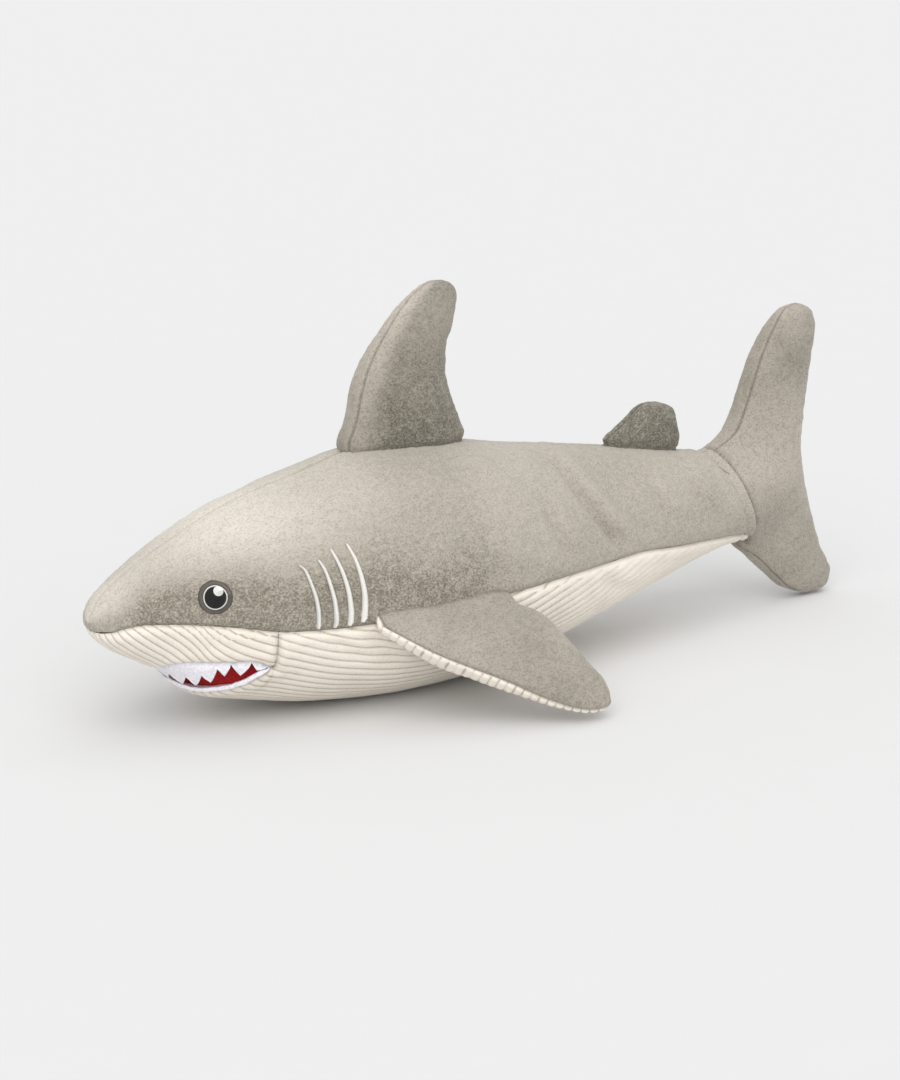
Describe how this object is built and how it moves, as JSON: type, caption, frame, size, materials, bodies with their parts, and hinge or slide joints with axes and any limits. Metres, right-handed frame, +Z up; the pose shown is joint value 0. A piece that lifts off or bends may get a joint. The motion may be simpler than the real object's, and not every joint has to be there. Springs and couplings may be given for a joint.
{
  "type": "stuffed toy shark",
  "caption": "Soft stuffed shark with a velour back, a corduroy belly, an open felt-toothed mouth, and fins and a tail that flex where they are sewn on.",
  "frame": {"origin": "under the middle of the toy's bounding box, on the surface it lies on", "axes": "+X from the nose towards the tail, +Y towards the toy's right side, +Z up"},
  "size_m": [0.5686, 0.2838, 0.2482],
  "materials": {
    "velour_light": "short-pile velour, light warm grey",
    "velour_dark": "short-pile velour, medium warm grey",
    "corduroy": "cream corduroy with fine ribs",
    "felt_white": "white fleece felt",
    "lining_red": "dark red woven lining",
    "thread_black": "black satin-stitch thread",
    "thread_brown": "grey-brown satin-stitch thread",
    "thread_white": "white satin-stitch thread",
    "filling": "white polyester fibre"
  },
  "bodies": {
    "torso": {"back_panel_left": "velour_light", "back_panel_right": "velour_light", "belly_panel": "corduroy", "eye_glint_left": "thread_white", "eye_glint_right": "thread_white", "eye_pupil_left": "thread_black", "eye_pupil_right": "thread_black", "eye_ring_left": "thread_white", "eye_ring_right": "thread_white", "eye_surround_left": "thread_brown", "eye_surround_right": "thread_brown", "gill_stitch_left_1": "thread_white", "gill_stitch_left_2": "thread_white", "gill_stitch_left_3": "thread_white", "gill_stitch_left_4": "thread_white", "gill_stitch_right_1": "thread_white", "gill_stitch_right_2": "thread_white", "gill_stitch_right_3": "thread_white", "gill_stitch_right_4": "thread_white", "lower_lip_band": "felt_white", "mouth_lining": "lining_red", "snout_panel": "corduroy", "torso_filling": "filling", "upper_teeth": "felt_white"},
    "dorsal_fin": {"dorsal_filling": "filling", "dorsal_left_panel": "velour_dark", "dorsal_right_panel": "velour_dark"},
    "rear_dorsal_fin": {"rear_dorsal_filling": "filling", "rear_dorsal_left_panel": "velour_dark", "rear_dorsal_right_panel": "velour_dark"},
    "pectoral_fin_left": {"pectoral_left_filling": "filling", "pectoral_left_top_panel": "velour_dark", "pectoral_left_underside_panel": "corduroy"},
    "pectoral_fin_right": {"pectoral_right_filling": "filling", "pectoral_right_top_panel": "velour_dark", "pectoral_right_underside_panel": "corduroy"},
    "tail_fin": {"tail_filling": "filling", "tail_left_panel": "velour_dark", "tail_right_panel": "velour_dark"}
  },
  "joints": [
    {"name": "dorsal_flop", "type": "hinge", "parent": "torso", "child": "dorsal_fin", "pos_m": [-0.06124, 0, 0.15412], "axis": [0.9985, 0, -0.0552], "range_deg": [-40, 40], "stiffness_Nm_per_rad": 0.35},
    {"name": "rear_dorsal_flop", "type": "hinge", "parent": "torso", "child": "rear_dorsal_fin", "pos_m": [0.12119, 0, 0.12512], "axis": [0.9842, 0, -0.1773], "range_deg": [-40, 40], "stiffness_Nm_per_rad": 0.12},
    {"name": "pectoral_left_flap", "type": "hinge", "parent": "torso", "child": "pectoral_fin_left", "pos_m": [-0.08772, -0.07834, 0.06109], "axis": [-0.9991, 0.0415, 0], "range_deg": [-5, 65], "stiffness_Nm_per_rad": 0.3},
    {"name": "pectoral_right_flap", "type": "hinge", "parent": "torso", "child": "pectoral_fin_right", "pos_m": [-0.08772, 0.07834, 0.06109], "axis": [0.9991, 0.0415, 0], "range_deg": [-5, 65], "stiffness_Nm_per_rad": 0.3},
    {"name": "tail_sway", "type": "hinge", "parent": "torso", "child": "tail_fin", "pos_m": [0.20162, 0, 0.0826], "axis": [-0.3551, 0, 0.9348], "range_deg": [-30, 30], "stiffness_Nm_per_rad": 1.2}
  ]
}
